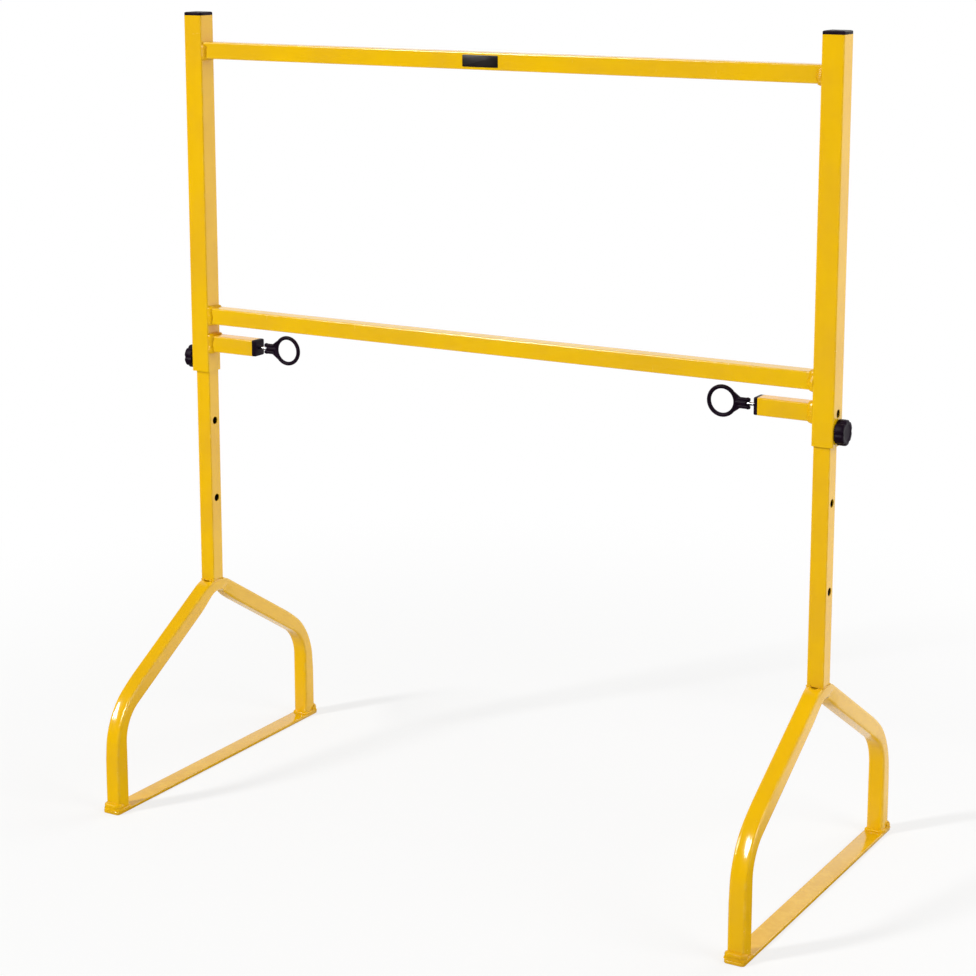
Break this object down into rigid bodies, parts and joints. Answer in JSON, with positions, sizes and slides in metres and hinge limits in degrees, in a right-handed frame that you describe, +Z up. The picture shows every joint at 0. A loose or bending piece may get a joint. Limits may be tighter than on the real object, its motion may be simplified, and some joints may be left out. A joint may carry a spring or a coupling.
{
  "type": "builders trestle",
  "caption": "Steel builders trestle: a welded frame whose top rail carries boards, on telescoping legs with hooped feet, held by spring pins and clamp screws.",
  "frame": {"origin": "on the floor, below the middle of the rails", "axes": "+X along the rails, +Y from the front to the back, +Z up"},
  "size_m": [1.1006, 0.54, 1.202],
  "materials": {
    "yellow_paint": "gloss",
    "black_plastic": "satin",
    "bright_zinc": "plated",
    "grey_nylon": "matte"
  },
  "bodies": {
    "frame": {"left_post": "yellow_paint", "left_pin_housing": "yellow_paint", "left_housing_weld": "yellow_paint", "left_clamp_nut": "yellow_paint", "left_post_cap": "black_plastic", "left_housing_cap": "black_plastic", "left_pin_spring": "bright_zinc", "left_pin_bush": "grey_nylon", "right_post": "yellow_paint", "right_pin_housing": "yellow_paint", "right_housing_weld": "yellow_paint", "right_clamp_nut": "yellow_paint", "right_post_cap": "black_plastic", "right_housing_cap": "black_plastic", "right_pin_spring": "bright_zinc", "right_pin_bush": "grey_nylon", "top_rail": "yellow_paint", "lower_rail": "yellow_paint", "top_rail_welds": "yellow_paint", "lower_rail_welds": "yellow_paint", "rail_plate": "black_plastic"},
    "left_leg": {"left_leg": "yellow_paint", "left_leg_weld": "yellow_paint", "left_foot_hoop": "yellow_paint", "left_foot_bar": "yellow_paint", "left_foot_welds": "yellow_paint"},
    "left_pin": {"left_lock_pin": "bright_zinc", "left_spring_washer": "bright_zinc", "left_pull_ring": "black_plastic"},
    "left_stud": {"left_clamp_stud": "bright_zinc"},
    "left_knob": {"left_knob": "black_plastic"},
    "right_leg": {"right_leg": "yellow_paint", "right_leg_weld": "yellow_paint", "right_foot_hoop": "yellow_paint", "right_foot_bar": "yellow_paint", "right_foot_welds": "yellow_paint"},
    "right_pin": {"right_lock_pin": "bright_zinc", "right_spring_washer": "bright_zinc", "right_pull_ring": "black_plastic"},
    "right_stud": {"right_clamp_stud": "bright_zinc"},
    "right_knob": {"right_knob": "black_plastic"}
  },
  "joints": [
    {"name": "left_leg_slide", "type": "slide", "parent": "frame", "child": "left_leg", "axis": [0, 0, 1], "range_m": [0, 0.25]},
    {"name": "left_pin_slide", "type": "slide", "parent": "frame", "child": "left_pin", "axis": [1, 0, 0], "range_m": [-0.0075, 0.01], "stiffness_N_per_m": 600, "springref_m": -0.012, "deforming": ["left_pin_spring"]},
    {"name": "left_stud_slide", "type": "slide", "parent": "frame", "child": "left_stud", "axis": [-1, 0, 0], "range_m": [0, 0.0026]},
    {"name": "left_knob_turn", "type": "hinge", "parent": "left_stud", "child": "left_knob", "pos_m": [-0.5435, 0, 0.665], "axis": [-1, 0, 0], "range_deg": [0, 720]},
    {"name": "right_leg_slide", "type": "slide", "parent": "frame", "child": "right_leg", "axis": [0, 0, 1], "range_m": [0, 0.25]},
    {"name": "right_pin_slide", "type": "slide", "parent": "frame", "child": "right_pin", "axis": [-1, 0, 0], "range_m": [-0.0075, 0.01], "stiffness_N_per_m": 600, "springref_m": -0.012, "deforming": ["right_pin_spring"]},
    {"name": "right_stud_slide", "type": "slide", "parent": "frame", "child": "right_stud", "axis": [1, 0, 0], "range_m": [0, 0.0026]},
    {"name": "right_knob_turn", "type": "hinge", "parent": "right_stud", "child": "right_knob", "pos_m": [0.5435, 0, 0.665], "axis": [1, 0, 0], "range_deg": [0, 720]}
  ],
  "couplings": [
    {"joint": "left_stud_slide", "follows": "left_knob_turn", "m_per_rad": 0.00019894},
    {"joint": "right_stud_slide", "follows": "right_knob_turn", "m_per_rad": 0.00019894}
  ]
}
